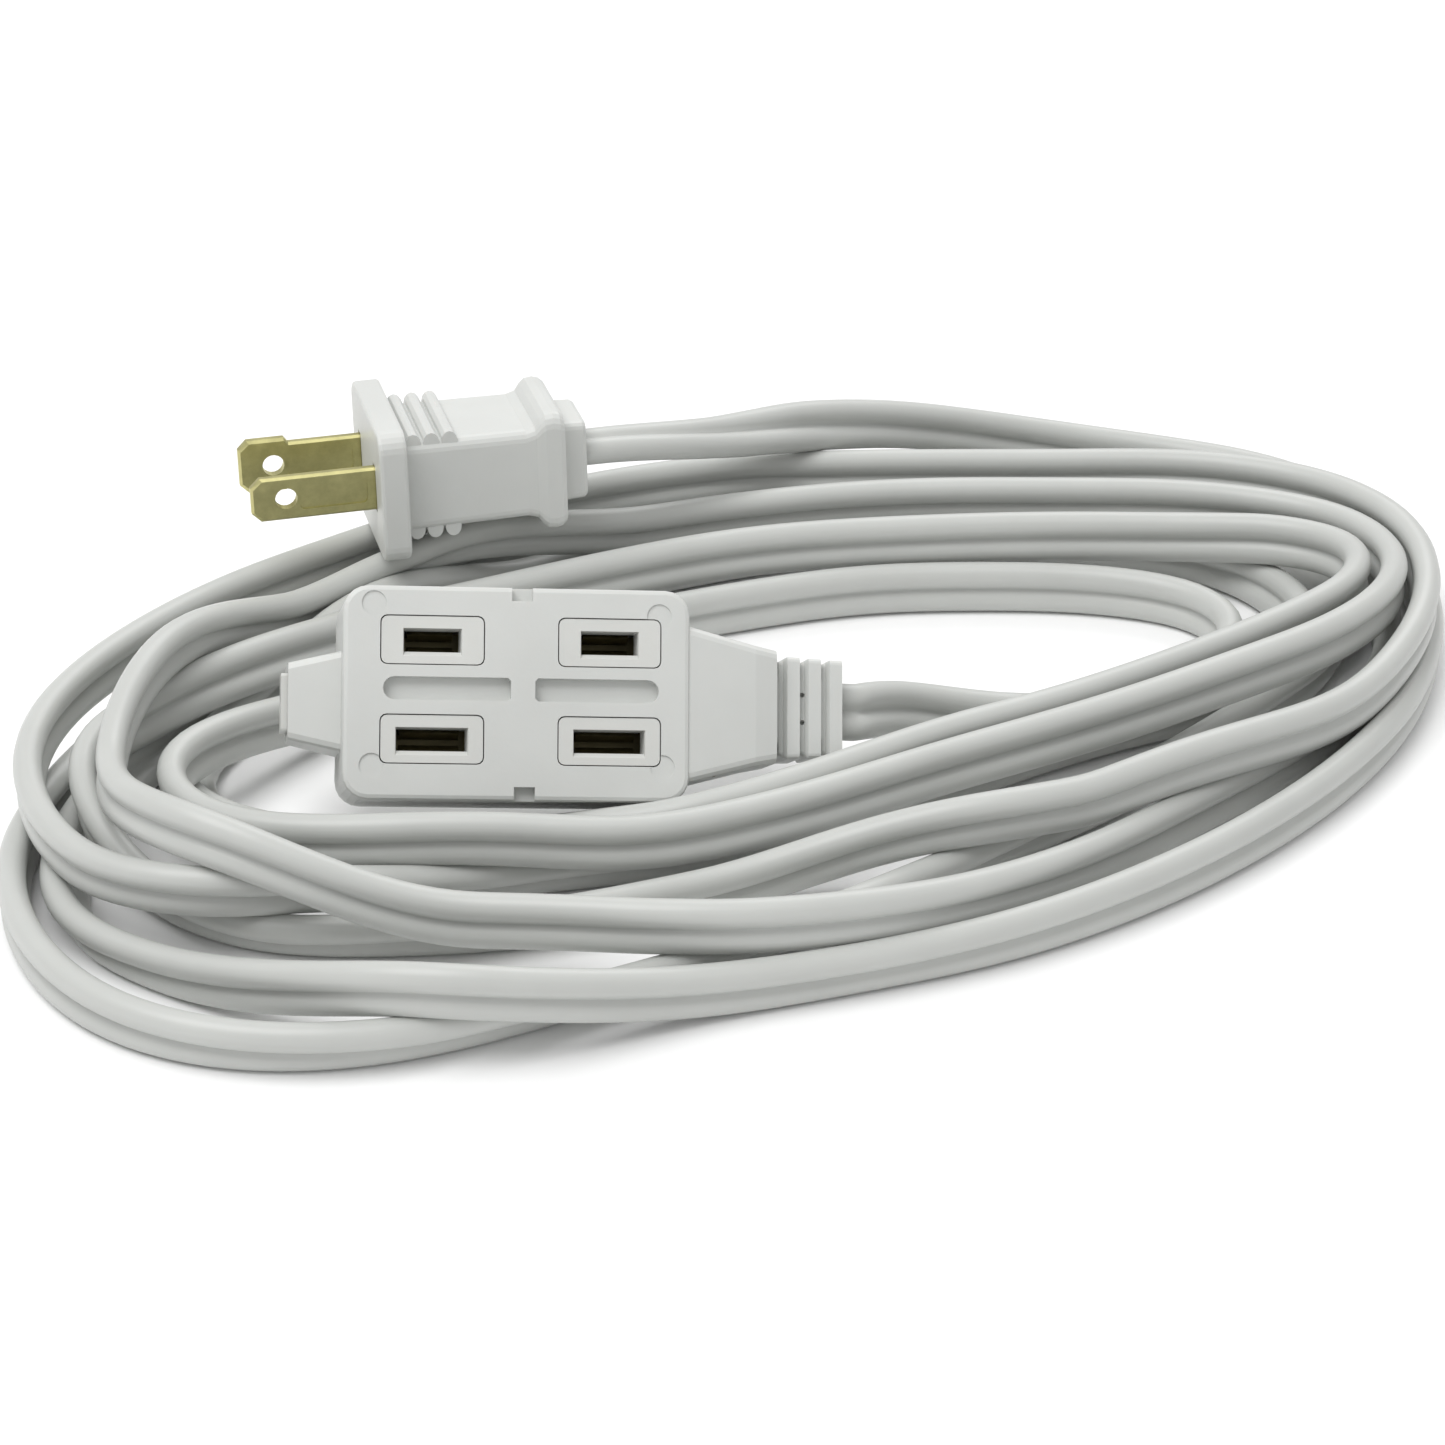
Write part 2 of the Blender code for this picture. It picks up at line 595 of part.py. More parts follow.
def make_coil(look, pose):
    """One closed ring of the coil's outer shape."""
    count = 56
    outer = evenly(closed_outline(COIL_OUTER, 6), count)
    inner = evenly(closed_outline(COIL_INNER, 6), count)
    bm = bmesh.new()
    rings = []
    for out_point, in_point in zip(outer, inner):
        across = out_point - in_point
        # The crest is where the turns lie over each other
        profile = ((0.0, 0.0), (1.0, 0.0), (1.0, COIL_TOP - 6), (0.82, COIL_TOP))
        profile += ((0.5, CREST_TOP), (0.1, COIL_TOP))
        ring = []
        for share, height in profile:
            spot = in_point + across * share
            ring.append(bm.verts.new((spot.x, spot.y, height)))
        rings.append(ring)
    for first, second in zip(rings, rings[1:] + rings[:1]):
        for i in range(len(first)):
            j = (i + 1) % len(first)
            bm.faces.new((first[i], first[j], second[j], second[i]))
    bmesh.ops.recalc_face_normals(bm, faces=bm.faces)
    piece("cord_coil", bm, look, pose, 40)


def spaced(route, step):
    """Points of the route a fixed distance apart, its two ends among them."""
    kept = [route[0]]
    for point in route[1:-1]:
        if (point - kept[-1]).length >= step and (point - route[-1]).length >= step / 2:
            kept.append(point)
    return [*kept, route[-1]]


def make_lead(name, exit_point, outward, stretch, look):
    """The free stretch between a moulded end and the coil, in this object's frame."""
    knots = [exit_point + outward * 2 * GAP, exit_point + outward * 4.0]
    knots += [COIL_CENTRE + Vector(point) for point in stretch]
    route = smooth_route(knots, 12)
    tube(name, spaced(route, 2.2 * LEAD_R), LEAD_R, look)


def main():
    clear_scene()
    looks = {
        "overmould": material("white_pvc", PVC_WHITE, 0.42),
        "housing": material("white_housing", (0.80, 0.80, 0.77), 0.35),
        "insulation": material("cord_insulation", (0.79, 0.79, 0.77), 0.38),
        "brass": material("brass", (0.72, 0.62, 0.28), 0.3, 1.0),
        "copper": material("copper", (0.80, 0.42, 0.25), 0.3, 1.0),
    }
    outlet = pose_empty("outlet_pose", OUTLET_AT, OUTLET_YAW, OUTLET_PITCH, OUTLET_LEAN)
    make_outlet_overmould(looks["overmould"], outlet)
    make_outlet_carrier(looks["housing"], outlet)
    make_outlet_cover(looks["housing"], outlet)
    make_contact_strip("hot_contact_strip", ROW_Y, HOT_SLOT, looks["brass"], outlet)
    make_contact_strip("neutral_contact_strip", -ROW_Y, NEUTRAL_SLOT, looks["brass"], outlet)
    for pole, side in (("hot", 1), ("neutral", -1)):
        crimp = Vector((21.6, side * (ROW_Y - 1.35), -10.9))
        make_core_end("outlet", pole, outlet_core_route(side), crimp, looks, outlet)

    plug = pose_empty("plug_pose", COIL_CENTRE + PLUG_AT, PLUG_YAW, 0.0, PLUG_ROLL)
    make_plug_overmould(looks["overmould"], plug)
    make_plug_bridge(looks["housing"], plug)
    make_blade("hot_blade", -PITCH / 2, False, looks["brass"], plug)
    make_blade("neutral_blade", PITCH / 2, True, looks["brass"], plug)
    for pole, side in (("hot", -1), ("neutral", 1)):
        crimp = Vector((14.8, side * 4.35, 0))
        make_core_end("plug", pole, plug_core_route(side), crimp, looks, plug)

    coil = pose_empty("coil_pose", COIL_CENTRE, 0)
    make_coil(looks["insulation"], coil)
    for name, end, local, stretch in (
        ("cord_outlet_lead", outlet, Vector((RELIEF_END, CORD_Y, CORD_Z)), OUTLET_STRETCH),
        ("cord_plug_lead", plug, Vector((PLUG_END, 0, 0)), PLUG_STRETCH),
    ):
        exit_point = end.matrix_world @ (local * MM) / MM
        outward = (end.matrix_world.to_3x3() @ Vector((1, 0, 0))).normalized()
        make_lead(name, exit_point, outward, stretch, looks["insulation"])


main()
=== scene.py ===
"""Looks of the coiled household extension cord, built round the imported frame.

The frame gives the outlet block, the plug and everything inside them. This script
lays the flat cord along its route, pushes its turns off each other, and adds the finish
of every surface, the floor, the light and the camera.
"""

import json
import math

import bmesh
import bpy
import numpy as np
from mathutils import Matrix, Vector


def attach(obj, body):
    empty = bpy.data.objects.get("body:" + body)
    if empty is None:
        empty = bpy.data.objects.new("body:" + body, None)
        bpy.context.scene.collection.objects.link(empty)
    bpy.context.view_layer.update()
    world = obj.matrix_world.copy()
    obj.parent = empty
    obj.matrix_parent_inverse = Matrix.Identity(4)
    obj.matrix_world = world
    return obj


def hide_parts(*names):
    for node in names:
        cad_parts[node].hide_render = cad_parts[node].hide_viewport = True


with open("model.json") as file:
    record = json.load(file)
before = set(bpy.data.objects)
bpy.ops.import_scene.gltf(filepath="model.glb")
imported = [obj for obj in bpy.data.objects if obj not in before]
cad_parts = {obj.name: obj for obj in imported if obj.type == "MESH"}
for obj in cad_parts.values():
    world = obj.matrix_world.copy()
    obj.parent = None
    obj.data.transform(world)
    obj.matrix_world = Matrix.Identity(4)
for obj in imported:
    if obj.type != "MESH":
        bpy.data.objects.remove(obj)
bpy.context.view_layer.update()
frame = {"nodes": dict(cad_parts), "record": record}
MM = 0.001

# ---- places, from the part's own frame, in metres ----

COIL_CENTRE = np.array((0.0211, 0.0253, 0.0))
# The two ends as they lie: a point on each and its turns about Z, Y and X, in degrees
OUTLET_AT, OUTLET_TURN = (-0.00517, -0.00754, 0.02365), (7.0, 5.0, 56.0)
PLUG_AT, PLUG_TURN = (-0.0290, 0.0527, 0.0253), (14.0, 0.0, -4.0)
# Where the cord leaves each end, in that end's own frame
OUTLET_EXIT = (0.0432, -0.0013, -0.0095)
PLUG_EXIT = (0.0306, 0.0, 0.0)

# ---- cord, in millimetres from the coil's centre ----

LOBE = 3.8  # one conductor's width; the flat cord is two of them side by side
WEB = 1.5  # thickness of the web that joins them
LOBE_POINTS = 14  # points of the outline round each conductor
SECTION_STEP = 2.2
KNOT_SAMPLES = 16  # curve points after each knot, before they are spread evenly
ROUTE_SMOOTHING = 12  # rounds of neighbour averaging over the whole route
SKIN_SMOOTHING = 2  # and over each conductor once it is settled
STRAIGHT_IN = 2  # how far the cord reaches back into each end
STRAIGHT_OUT = 4  # how far it runs straight out of each end
PLUG_TWIST = 75  # length over which it turns from on edge to the plug's lean
OUTLET_TWIST = 40
ROOM_OVER = 7.7  # height between the middles of two passes that cross
HUMP_REACH = 34.0  # from a hump's top to its foot, along the cord
HUMP_ROUNDS = 5
CROSSING_APART = 12  # sections nearer than this along the cord are not compared
CROSSING_REACH = 3 * SECTION_STEP
JACKET_ROUND = 0.04  # length of the jacket's map once round it, in metres

# Settling: in every round the conductors are pushed apart, and then what moved them
# is averaged along the cord, less and less, as its stiffness would
SETTLE_ROUNDS = 150
PUSHES = 8  # pushes in each round
PUSH_GAIN = 1.3  # each push is this much longer than the average of its pairs
SPACING = 1.005  # conductors are pushed this many widths apart
HELD_SECTIONS = 4  # at each end of the cord
OWN_SECTIONS = 6  # sections this near along the cord do not push each other
STIFF_UNTIL = 0.92  # share of the rounds in which the moves are averaged
STIFF_PASSES = 14
PULL_BACK = 0.02  # share of every move that is taken back in the first round
SINK = 0.06  # how far the cord sinks in the first round
TINY = 1e-9  # keeps a zero out of a division

# The free stretches between the ends and the coil, as in the part
OUTLET_STRETCH = ((23, -12, 10), (30, -10, 7.6), (38, -7.6, 5.4), (45, -5.6, 3.8), (52, -4.4, 3.6))
PLUG_STRETCH = (
    (-8, 39.8, 24.8), (-3, 44, 23), (10, 56.5, 19.4), (25.5, 68.5, 14.6), (38, 74.2, 10.6), (49, 77.4, 7.2),
)
# The loose turns, one pass after another, through points across and above the ground.
# This is a table that a separate script wrote: it holds the visible passes as they were
# read off by eye and turned into millimetres, and the hidden ones as they were guessed.
# No loop in this script works the turns out.
TURNS = (
    # right, innermost
    (56, 1, 3.9), (65, 5, 3.9), (73, 15, 3.9), (70, 26, 3.9),
    # back, innermost
    (55, 32, 3.9), (37, 33, 3.9), (20, 32, 3.9), (3, 27, 3.9), (-17, 19, 3.9), (-39, 6, 4.3),
    (-57, -9, 7.5), (-66, -21, 11.3),
    # left
    (-73, -31, 11.8), (-69, -41, 11.5),
    # front, top
    (-59, -47, 11.5), (-48, -49, 11.5), (-37, -49, 11.5), (-26, -48, 11.5), (-14, -48, 11.5),
    (-1, -44, 11.5), (15, -36, 11.5), (27, -30, 12.3), (43, -24, 13.9), (56, -19, 15.5), (69, -12, 16.6),
    (83, -3, 17.1),
    # right
    (93, 11, 16.1), (95, 26, 13.9),
    # back, middle
    (89, 40, 11.8), (70, 47, 11.8), (48, 48, 11.8), (26, 48, 11.8), (6, 45, 11.8), (-12, 40, 11.8),
    (-32, 30, 11.8), (-51, 19, 11.8), (-66, 3, 13.9), (-76, -18, 17.1),
    # left, high
    (-79, -35, 17.1), (-76, -48, 16.1), (-66, -60, 15),
    # front, middle
    (-52, -64, 12.8), (-37, -65, 11.5), (-20, -66, 11.5), (-3, -68, 11.5), (16, -65, 11.5), (30, -58, 9.6),
    (46, -46, 7.5), (63, -29, 5.4), (79, -14, 3.9),
    # right
    (90, 1, 3.9), (95, 23, 3.9), (92, 46, 3.9),
    # back, under the others
    (78, 60, 3.9), (58, 67, 3.9), (35, 70, 3.9), (9, 67, 3.9), (-14, 57, 3.9), (-40, 39, 3.9),
    (-64, 17, 3.9), (-84, -14, 3.9),
    # left, outermost
    (-91, -40, 3.9), (-88, -58, 3.9), (-78, -74, 3.9),
    # front, outermost on the left
    (-65, -82, 3.9), (-50, -84, 3.9), (-35, -81, 3.9), (-20, -74, 3.9), (-3, -65, 3.9), (16, -53, 3.9),
    (36, -38, 3.9), (54, -23, 3.9),
    # right
    (72, -4, 3.9), (84, 12, 3.9), (90, 32, 3.9), (81, 50, 3.9),
    # back, under the others
    (65, 58, 3.9), (39, 61, 3.9), (12, 60, 3.9), (-14, 48, 3.9), (-36, 30, 3.9), (-54, 10, 3.9),
    (-66, -6, 3.9),
    # left
    (-72, -20, 3.9), (-66, -31, 3.9),
    # front, innermost
    (-51, -37, 3.9), (-39, -38, 3.9), (-29, -38, 4.8), (-20, -38, 7), (-11, -39, 9.1), (7, -35, 11.2),
    (15, -31, 11.7), (27, -24, 12.1), (43, -17, 12.8), (64, -6, 14.5), (79, 4, 15.5),
    # right
    (89, 15, 15), (90, 28, 13.4),
    # back
    (82, 34, 12.3), (66, 37, 11.5), (48, 38, 11.5), (26, 37, 11.5), (5, 34, 11.5), (-12, 28, 11.5),
    (-31, 19, 11.5), (-50, 9, 11.5), (-66, -5, 11.5), (-78, -15, 9.6),
    # left
    (-84, -29, 8.6), (-82, -38, 6.4), (-74, -48, 4.3),
    # front, low
    (-60, -58, 3.9), (-40, -59, 3.9), (-20, -56, 3.9), (-3, -50, 3.9), (16, -45, 6.4), (35, -44, 10.7),
    (51, -36, 11.5), (68, -26, 11.5), (83, -15, 11.8),
    # right
    (93, -1, 12.8), (99, 15, 13.9), (98, 35, 13.9),
    # back, upper
    (87, 50, 12.8), (69, 57, 11.8), (48, 58, 11.5), (27, 58, 11.5), (6, 56, 11.5), (-12, 52, 11.5),
    (-33, 42, 11.5), (-52, 30, 11.5), (-69, 18, 11.5), (-83, 0, 11.8), (-90, -19, 12.3),
    # left
    (-90, -35, 11.8), (-83, -51, 11.5),
    # front, low
    (-72, -60, 11.5), (-60, -62, 10.2), (-43, -52, 5.4), (-26, -45, 3.9), (-11, -42, 3.9), (5, -38, 3.9),
    (21, -30, 3.9), (37, -18, 3.9), (54, -8, 3.9),
    # right
    (71, 0, 4.3), (80, 8, 3.9), (84, 20, 3.9), (80, 33, 3.9), (73, 40, 3.9),
    # back, under the others
    (58, 46, 3.9), (38, 48, 3.9), (14, 46, 3.9), (-12, 37, 3.9), (-35, 25, 3.9), (-56, 11, 3.9),
    (-73, -8, 3.9), (-83, -30, 3.9),
    # left
    (-84, -49, 3.9), (-80, -59, 3.9),
    # front, outermost
    (-69, -67, 3.9), (-54, -75, 7), (-38, -82, 11.5), (-29, -83, 11.7), (-19, -80, 9.6), (-3, -73, 5.4),
    (16, -67, 3.9), (35, -60, 3.9), (52, -50, 3.9), (69, -36, 3.9), (84, -19, 3.9),
    # right, outermost
    (95, 0, 3.9), (101, 23, 3.9), (99, 46, 3.9), (89, 64, 3.9),
    # back, towards the plug
    (74, 73, 4.3),
)


def frame_of(turn):
    """Axes of an end, as columns: lean about X, then pitch about Y, then yaw about Z, all fixed axes."""
    yaw, pitch, lean = (math.radians(angle) for angle in turn)
    return np.array(
        Matrix.Rotation(yaw, 3, "Z") @ Matrix.Rotation(pitch, 3, "Y") @ Matrix.Rotation(lean, 3, "X")
    )


OUTLET_FRAME = frame_of(OUTLET_TURN)
PLUG_FRAME = frame_of(PLUG_TURN)


def on_outlet(point):
    """A point of the outlet block, given in its own frame, in metres."""
    return np.array(OUTLET_AT) + OUTLET_FRAME @ np.array(point, float)


def on_plug(point):
    """A point of the plug, given in its own frame, in metres."""
    return np.array(PLUG_AT) + PLUG_FRAME @ np.array(point, float)


def to_coil(point):
    """Metres in the frame to millimetres from the coil's centre."""
    return (np.array(point) - COIL_CENTRE) / MM


# ---- the cord: a smooth route, then settled ----


def evenly_along(points, step):
    """The same polyline in points about a step apart."""
    lengths = np.linalg.norm(np.diff(points, axis=0), axis=1)
    along = np.concatenate([[0], np.cumsum(lengths)])
    wanted = np.linspace(0, along[-1], int(round(along[-1] / step)) + 1)
    return np.stack([np.interp(wanted, along, points[:, axis]) for axis in range(3)], 1)


def curve_through(knots, step):
    """Centripetal Catmull-Rom curve through the knots, in points about a step apart."""
    padded = np.vstack([2 * knots[0] - knots[1], knots, 2 * knots[-1] - knots[-2]])
    share = np.arange(KNOT_SAMPLES) / KNOT_SAMPLES
    spans = []
    for p0, p1, p2, p3 in zip(padded, padded[1:], padded[2:], padded[3:]):
        t1 = np.linalg.norm(p1 - p0) ** 0.5
        t2 = t1 + np.linalg.norm(p2 - p1) ** 0.5
        t3 = t2 + np.linalg.norm(p3 - p2) ** 0.5
        t = (t1 + (t2 - t1) * share)[:, None]
        a1 = p0 * ((t1 - t) / t1) + p1 * (t / t1)
        a2 = p1 * ((t2 - t) / (t2 - t1)) + p2 * ((t - t1) / (t2 - t1))
        a3 = p2 * ((t3 - t) / (t3 - t2)) + p3 * ((t - t2) / (t3 - t2))
        b1 = a1 * ((t2 - t) / t2) + a2 * (t / t2)
        b2 = a2 * ((t3 - t) / (t3 - t1)) + a3 * ((t - t1) / (t3 - t1))
        spans.append(b1 * ((t2 - t) / (t2 - t1)) + b2 * ((t - t1) / (t2 - t1)))
    return evenly_along(np.vstack([*spans, knots[-1:]]), step)


def smoothed(values, passes, held=3):
    """Repeated neighbour averaging along the cord, with its ends held."""
    for _ in range(passes):
        average = 0.25 * values[:-2] + 0.5 * values[1:-1] + 0.25 * values[2:]
        values = values.copy()
        values[held:-held] = average[held - 1 : 1 - held]
    return values


def near_pairs(points, section, reach, apart):
    """Pairs of points nearer than reach whose sections are more than apart along the cord."""
    cell = np.floor(points / reach).astype(int)
    cell -= cell.min(0) - 1
    rows = cell.max(0) + 2
    key = (cell[:, 0] * rows[1] + cell[:, 1]) * rows[2] + cell[:, 2]
    order = np.argsort(key, kind="stable")
    ranked = key[order]
    firsts = []
    seconds = []
    for dx, dy, dz in np.ndindex(3, 3, 3):
        wanted = key + ((dx - 1) * rows[1] + dy - 1) * rows[2] + dz - 1
        low = np.searchsorted(ranked, wanted, "left")
        count = np.searchsorted(ranked, wanted, "right") - low
        first = np.repeat(np.arange(len(points)), count)
        offset = np.arange(count.sum()) - np.repeat(np.cumsum(count) - count, count)
        second = order[np.repeat(low, count) + offset]
        keep = (first < second) & (np.abs(section[first] - section[second]) > apart)
        firsts.append(first[keep])
        seconds.append(second[keep])
    return np.concatenate(firsts), np.concatenate(seconds)


def solid_boxes():
    """Boxes that the cord stays out of: centre, axes and half sizes, in the coil's millimetres."""
    outlet = (
        ((0, -0.4, -9.5), (22.3, 13.7, 9.5)),
        ((-26, -1.3, -10.5), (4, 6, 6.2)),
        ((28, -1.3, -9.5), (6.5, 8.5, 8)),
        ((38.6, -1.3, -9.5), (4.6, 6.6, 5)),
    )
    plug = (((2, 0, 0), (2, 12.5, 9.6)), ((13, 0, 0), (13, 8.6, 7.8)), ((25.2, 0, 0), (1.8, 8.8, 8.8)))
    boxes = []
    for place, axes, parts in ((on_outlet, OUTLET_FRAME, outlet), (on_plug, PLUG_FRAME, plug)):
        for centre, half in parts:
            boxes.append((to_coil(place(np.array(centre) * MM)), axes.T, np.array(half, float)))
    return boxes


def push_apart(points, first, second, distance):
    """Moves the points of each pair apart where they are closer than the distance."""
    gap = points[first] - points[second]
    length = np.linalg.norm(gap, axis=1) + TINY
    close = length < distance
    push = (distance - length[close])[:, None] * gap[close] / length[close][:, None] * 0.5
    moved = np.zeros_like(points)
    count = np.zeros(len(points))
    np.add.at(moved, first[close], push)
    np.add.at(moved, second[close], -push)
    np.add.at(count, first[close], 1)
    np.add.at(count, second[close], 1)
    return points + moved / np.maximum(count, 1)[:, None] * PUSH_GAIN


def push_out_of(points, boxes, movable):
    """Moves what is inside a box out through its nearest side."""
    for centre, axes, half in boxes:
        local = (points - centre) @ axes.T
        reach = half + LOBE / 2
        inside = (np.abs(local) < reach).all(1) & movable
        if not inside.any():
            continue
        chosen = local[inside]
        depth = reach - np.abs(chosen)
        axis = depth.argmin(1)
        row = np.arange(len(chosen))
        chosen[row, axis] += np.sign(chosen[row, axis] + TINY) * depth[row, axis]
        points[inside] = chosen @ axes + centre
    return points


def hold_together(points, count):
    """Brings the two conductors of every section back to one width apart."""
    width = points[:count] - points[count:]
    length = np.linalg.norm(width, axis=1)[:, None]
    correction = width / length * (length - LOBE) / 2
    return points - np.concatenate([correction, -correction])


def settle(route, upright, rounds):
    """Pushes conductors off each other, out of the two ends and off the ground.

    A few of them still press into each other slightly when the rounds are over.
    """
    count = len(route)
    start = np.concatenate([route + upright * LOBE / 2, route - upright * LOBE / 2])
    section = np.tile(np.arange(count), 2)
    movable = (section >= HELD_SECTIONS) & (section < count - HELD_SECTIONS)
    boxes = solid_boxes()
    points = start.copy()
    for turn in range(rounds):
        late = turn / (rounds - 1)
        first, second = near_pairs(points, section, 2 * LOBE, OWN_SECTIONS)
        for _ in range(PUSHES):
            points = push_apart(points, first, second, LOBE * SPACING)
            points = hold_together(points, count)
            points = push_out_of(points, boxes, movable)
            points[:, 2] = np.maximum(points[:, 2], LOBE / 2)
            points[~movable] = start[~movable]
        moved = points - start
        if late < STIFF_UNTIL:
            passes = int(round(STIFF_PASSES * (1 - late) + 1))
            moved = np.concatenate([smoothed(moved[:count], passes), smoothed(moved[count:], passes)])
            moved *= 1 - PULL_BACK * (1 - late)
            moved[movable, 2] -= SINK * (1 - late)
        points = start + moved
        points[~movable] = start[~movable]
        points[:, 2] = np.maximum(points[:, 2], LOBE / 2)
    return points[:count], points[count:]


def crossings(route):
    """Pairs of sections where the route passes over itself in plan."""
    flat = route[:, :2]
    steps = np.diff(flat, axis=0)
    first, second = np.triu_indices(len(steps), CROSSING_APART)
    start = flat[second] - flat[first]
    near = np.abs(start).max(1) < CROSSING_REACH
    first, second, start = first[near], second[near], start[near]
    a, b = steps[first], steps[second]
    turn = a[:, 0] * b[:, 1] - a[:, 1] * b[:, 0]
    turn[np.abs(turn) < TINY] = TINY
    on_first = (start[:, 0] * b[:, 1] - start[:, 1] * b[:, 0]) / turn
    on_second = (start[:, 0] * a[:, 1] - start[:, 1] * a[:, 0]) / turn
    meet = (on_first >= 0) & (on_first < 1) & (on_second >= 0) & (on_second < 1)
    return first[meet], second[meet]


def lift_over(route):
    """Raises the upper pass at every crossing into a long low hump over the lower one."""
    first, second = crossings(route)
    route = route.copy()
    for _ in range(HUMP_ROUNDS):
        lift = np.zeros(len(route))
        for i, j in zip(first, second):
            below, above = (i, j) if route[i, 2] < route[j, 2] else (j, i)
            lack = ROOM_OVER - (route[above, 2] - route[below, 2])
            if lack > 0:
                reach = np.abs(np.arange(len(route)) - above) * SECTION_STEP / HUMP_REACH
                hump = np.where(reach < 1, 0.5 + 0.5 * np.cos(np.pi * np.minimum(reach, 1)), 0)
                lift = np.maximum(lift, lack * hump)
        route[:, 2] += lift
    return route


def width_directions(count):
    """Which way the cord's width points: upwards, and across each end near that end."""
    from_outlet = np.arange(count) * SECTION_STEP
    from_plug = (count - 1 - np.arange(count)) * SECTION_STEP
    plug_end = (from_plug, PLUG_FRAME[:, 1], PLUG_TWIST)
    outlet_end = (from_outlet, OUTLET_FRAME[:, 1], OUTLET_TWIST)
    upright = np.tile((0.0, 0.0, 1.0), (count, 1))
    for distance, across, reach in (plug_end, outlet_end):
        share = np.clip((reach - distance) / reach, 0, 1)
        share = (share * share * (3 - 2 * share))[:, None]
        upright = upright * (1 - share) + across * share
    return upright / np.linalg.norm(upright, axis=1)[:, None]


def cord_lines():
    """The two conductors' centrelines, in millimetres from the coil's centre."""
    outlet_exit = to_coil(on_outlet(OUTLET_EXIT))
    outlet_out = OUTLET_FRAME[:, 0]
    plug_exit = to_coil(on_plug(PLUG_EXIT))
    plug_out = PLUG_FRAME[:, 0]
    knots = [outlet_exit - outlet_out * STRAIGHT_IN, outlet_exit + outlet_out * STRAIGHT_OUT]
    knots += [*OUTLET_STRETCH, *TURNS, *PLUG_STRETCH[::-1]]
    knots += [plug_exit + plug_out * STRAIGHT_OUT, plug_exit - plug_out * STRAIGHT_IN]
    route = curve_through(np.array(knots, float), SECTION_STEP)
    route = lift_over(smoothed(route, ROUTE_SMOOTHING))
    rounds = SETTLE_ROUNDS
    upper, lower = settle(route, width_directions(len(route)), rounds)
    return smoothed(upper, SKIN_SMOOTHING), smoothed(lower, SKIN_SMOOTHING)


def cord_profile():
    """Outline of the flat cord across its run: (along the width, through the thickness)."""
    radius = LOBE / 2
    groove = math.degrees(math.asin(WEB / LOBE))
    outline = []
    for side in (1, -1):
        for i in range(LOBE_POINTS):
            angle = math.radians(-(180 - groove) + (360 - 2 * groove) * i / (LOBE_POINTS - 1))
            outline.append((side * (radius + radius * math.cos(angle)), side * radius * math.sin(angle)))
    return outline


def cord_rings(upper, lower):
    """The cord's outline at every section, in metres: one row of points each."""
    middle = (upper + lower) / 2
    profile = cord_profile()
    along = np.gradient(middle, axis=0)
    along /= np.linalg.norm(along, axis=1)[:, None]
    width = upper - lower
    width /= np.linalg.norm(width, axis=1)[:, None]
    through = np.cross(along, width)
    through /= np.linalg.norm(through, axis=1)[:, None]
    rings = middle[:, None, :]
    rings = rings + width[:, None, :] * np.array([p[0] for p in profile])[None, :, None]
    rings = rings + through[:, None, :] * np.array([p[1] for p in profile])[None, :, None]
    return rings * MM + COIL_CENTRE


def map_jacket(mesh, sides):
    """A map of the jacket, along it and round it, for its drawn-out streaks."""
    layer = mesh.uv_layers.new(name="jacket")
    place = np.zeros((len(mesh.loops), 2), np.float32)
    corner = np.zeros(len(mesh.loops), np.int32)
    mesh.loops.foreach_get("vertex_index", corner)
    place[:, 0] = (corner // sides) * SECTION_STEP * MM
    place[:, 1] = np.abs((corner % sides) / sides - 0.5) * JACKET_ROUND
    layer.data.foreach_set("uv", place.ravel())


def close_ends(mesh):
    """Fills the two open ends and turns every face outwards."""
    bm = bmesh.new()
    bm.from_mesh(mesh)
    bmesh.ops.holes_fill(bm, edges=[edge for edge in bm.edges if edge.is_boundary])
    bmesh.ops.recalc_face_normals(bm, faces=bm.faces)
    bm.to_mesh(mesh)
    bm.free()


def cord_mesh(rings, look):
    """A closed tube through the rings."""
    sections, sides = rings.shape[:2]
    faces = []
    for i in range(sections - 1):
        for k in range(sides):
            j = (k + 1) % sides
            faces.append((i * sides + k, i * sides + j, (i + 1) * sides + j, (i + 1) * sides + k))
    mesh = bpy.data.meshes.new("flat_cord")
    mesh.from_pydata(rings.reshape(-1, 3).tolist(), [], faces)
    map_jacket(mesh, sides)
    mesh.materials.append(look)
    mesh.shade_smooth()
    mesh.set_sharp_from_angle(angle=math.radians(60))
    return mesh


def make_cord(look):
    """The whole flat cord as one piece, in place of its three plain solids."""
    upper, lower = cord_lines()
    mesh = cord_mesh(cord_rings(upper, lower), look)
    cord = bpy.data.objects.new("flat_cord", mesh)
    bpy.context.collection.objects.link(cord)
    close_ends(mesh)
    centreline = (upper + lower) / 2 * MM + COIL_CENTRE
    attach(cord, "root")
    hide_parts("cord_coil", "cord_outlet_lead", "cord_plug_lead")
    length = float(np.linalg.norm(np.diff(centreline, axis=0), axis=1).sum())
    print(f"cord length {length:.3f} m, {len(centreline)} sections")


# ---- materials ----

DUST_SCALE = 150.0
DUST_SIZE = 0.035
DUST_RARITY = 0.965
DUST_COLOUR = (0.16, 0.13, 0.10, 1)
STREAK_SCALE = (12.0, 900.0, 1.0)  # along the jacket and round it
BRUSHED_SCALE = (150.0, 2600.0, 2600.0)


